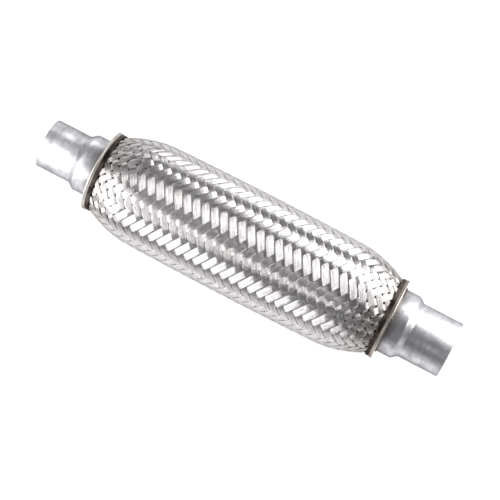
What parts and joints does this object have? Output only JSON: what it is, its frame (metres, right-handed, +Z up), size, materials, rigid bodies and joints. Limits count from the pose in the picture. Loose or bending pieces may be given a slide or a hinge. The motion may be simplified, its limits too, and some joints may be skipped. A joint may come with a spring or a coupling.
{
  "type": "exhaust flex pipe",
  "caption": "Flexible exhaust coupling: a bellows and liner inside a woven steel braid, crimped in end caps, with a welded stub pipe at each end.",
  "frame": {"origin": "on the pipe's axis, midway between the two open ends", "axes": "+X along the pipe from the narrower inlet stub to the wider outlet stub, +Z up, pipe lying level"},
  "size_m": [0.35, 0.086, 0.086],
  "materials": {
    "pipe_steel": "satin mill finish, faintly mottled",
    "heat_tinted_steel": "pressed, brown heat tint from welding, bright rim",
    "braid_steel": "bright drawn wire",
    "inner_steel": "plain rolled sheet"
  },
  "bodies": {
    "root": {"inlet_pipe": "pipe_steel", "outlet_pipe": "pipe_steel", "inlet_cap": "heat_tinted_steel", "outlet_cap": "heat_tinted_steel", "bellows": "inner_steel", "liner": "inner_steel", "outer_braid": "braid_steel"}
  },
  "joints": []
}
